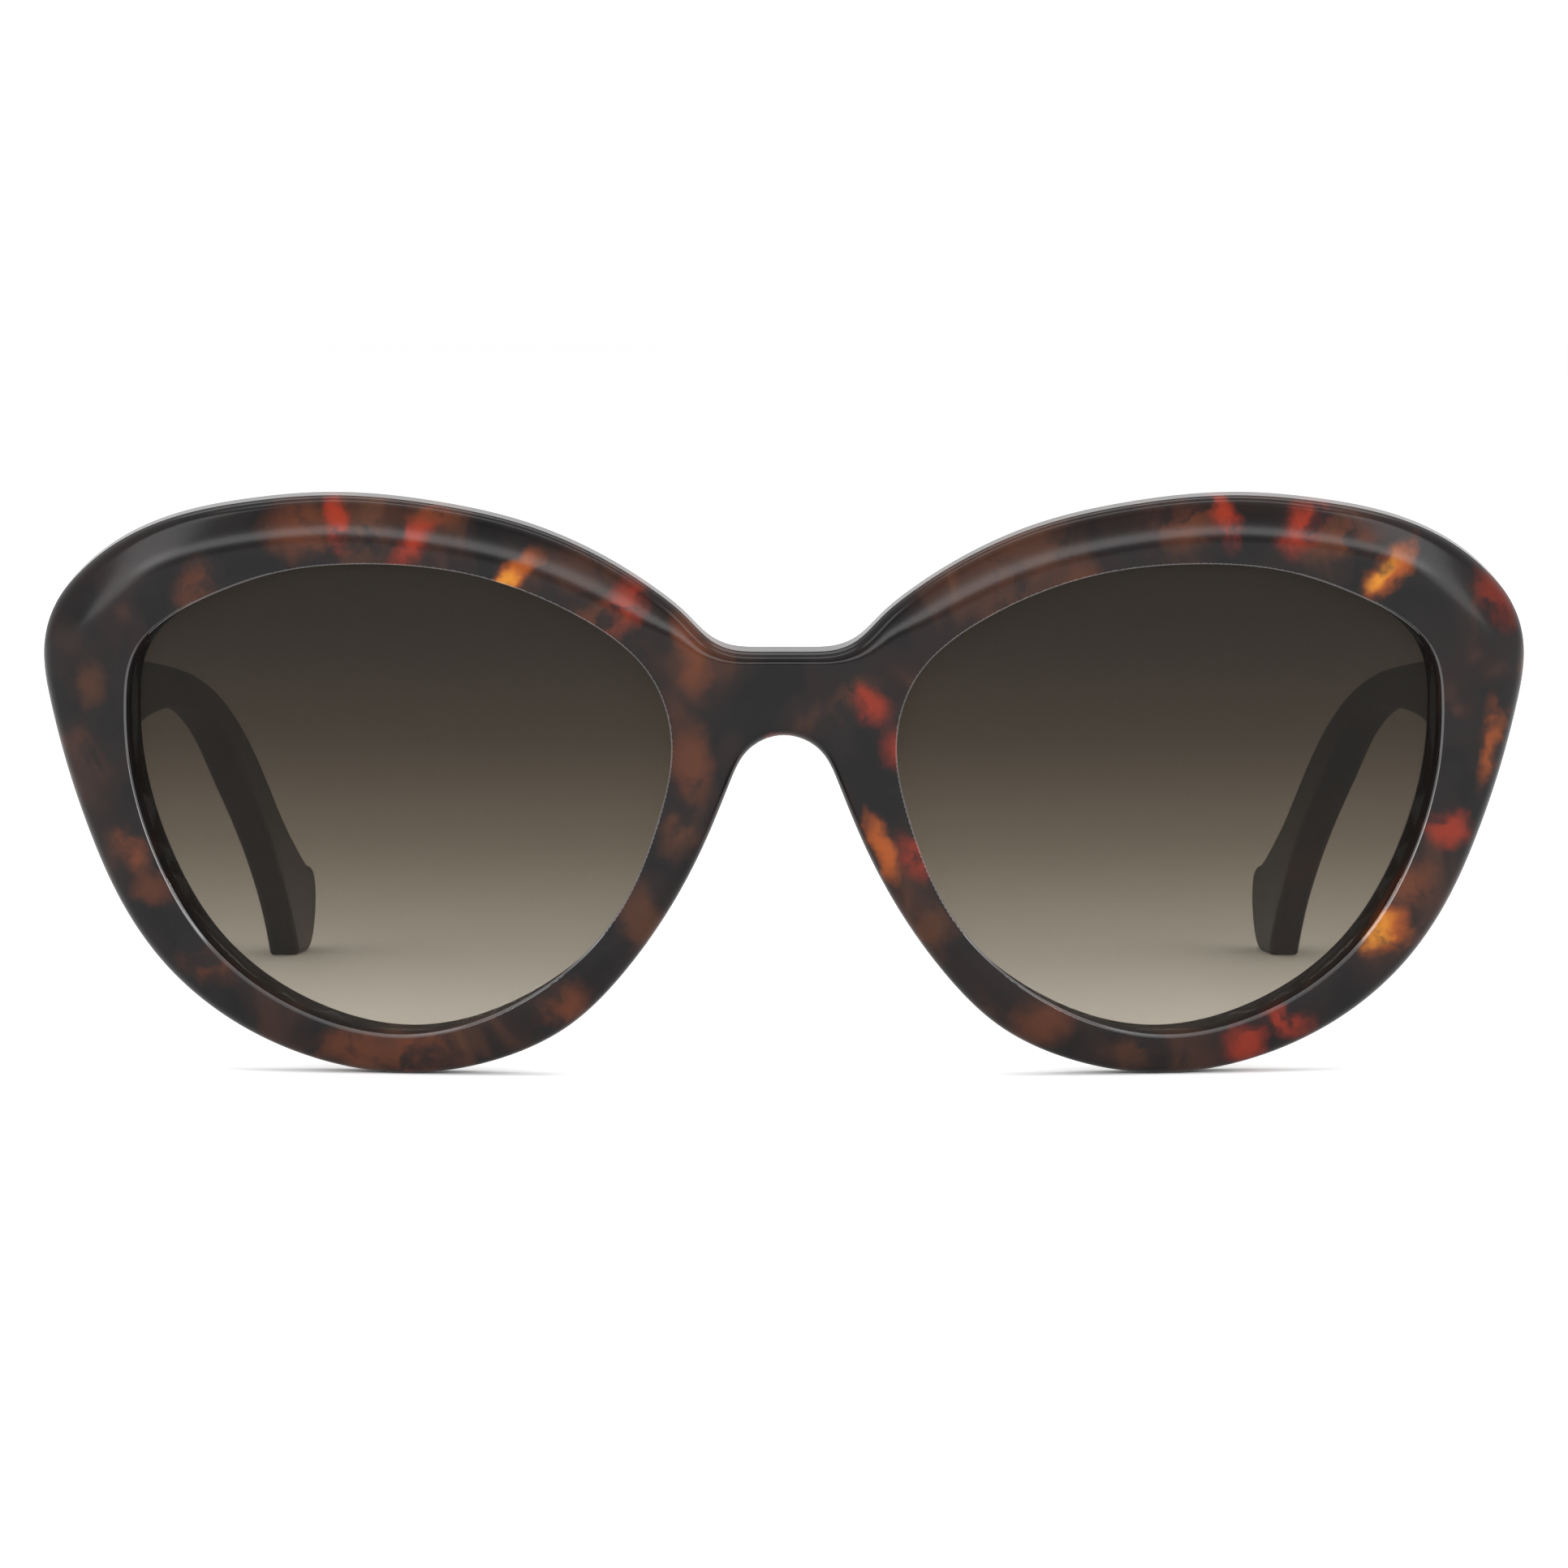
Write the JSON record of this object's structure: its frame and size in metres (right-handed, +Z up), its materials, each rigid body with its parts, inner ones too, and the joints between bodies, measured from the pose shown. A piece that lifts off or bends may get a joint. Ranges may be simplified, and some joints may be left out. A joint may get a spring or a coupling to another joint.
{
  "type": "cat eye sunglasses",
  "caption": "Cat eye sunglasses with a bevelled tortoiseshell acetate front, graduated brown lenses and folding temples on barrel hinges.",
  "frame": {"origin": "bottom centre of the bounding box; the two rims and the two temple tips touch the plane z = 0", "axes": "+X to the wearer's left, +Y from the front back along the temples, +Z up"},
  "size_m": [0.1434, 0.1593, 0.0562],
  "materials": {
    "acetate": "polished tortoiseshell acetate",
    "pad_acetate": "polished",
    "lens": "graduated brown tint, darker at the top",
    "hinge_metal": "nickel silver",
    "screw_steel": "plated",
    "core_metal": "drawn wire"
  },
  "bodies": {
    "front": {"front_frame": "acetate", "nose_pad_left": "pad_acetate", "nose_pad_right": "pad_acetate", "lens_left": "lens", "lens_right": "lens", "front_hinge_left": "hinge_metal", "front_hinge_right": "hinge_metal", "hinge_screw_left": "screw_steel", "hinge_screw_right": "screw_steel"},
    "temple_l": {"temple_left": "acetate", "temple_hinge_left": "hinge_metal", "core_wire_left": "core_metal"},
    "temple_r": {"temple_right": "acetate", "temple_hinge_right": "hinge_metal", "core_wire_right": "core_metal"}
  },
  "joints": [
    {"name": "temple_left_fold", "type": "hinge", "parent": "front", "child": "temple_l", "pos_m": [-0.0642, -0.05968, 0.03557], "axis": [0, 0.0941, -0.9956], "range_deg": [0, 78]},
    {"name": "temple_right_fold", "type": "hinge", "parent": "front", "child": "temple_r", "pos_m": [0.0642, -0.05968, 0.03557], "axis": [0, -0.0941, 0.9956], "range_deg": [0, 86]}
  ]
}
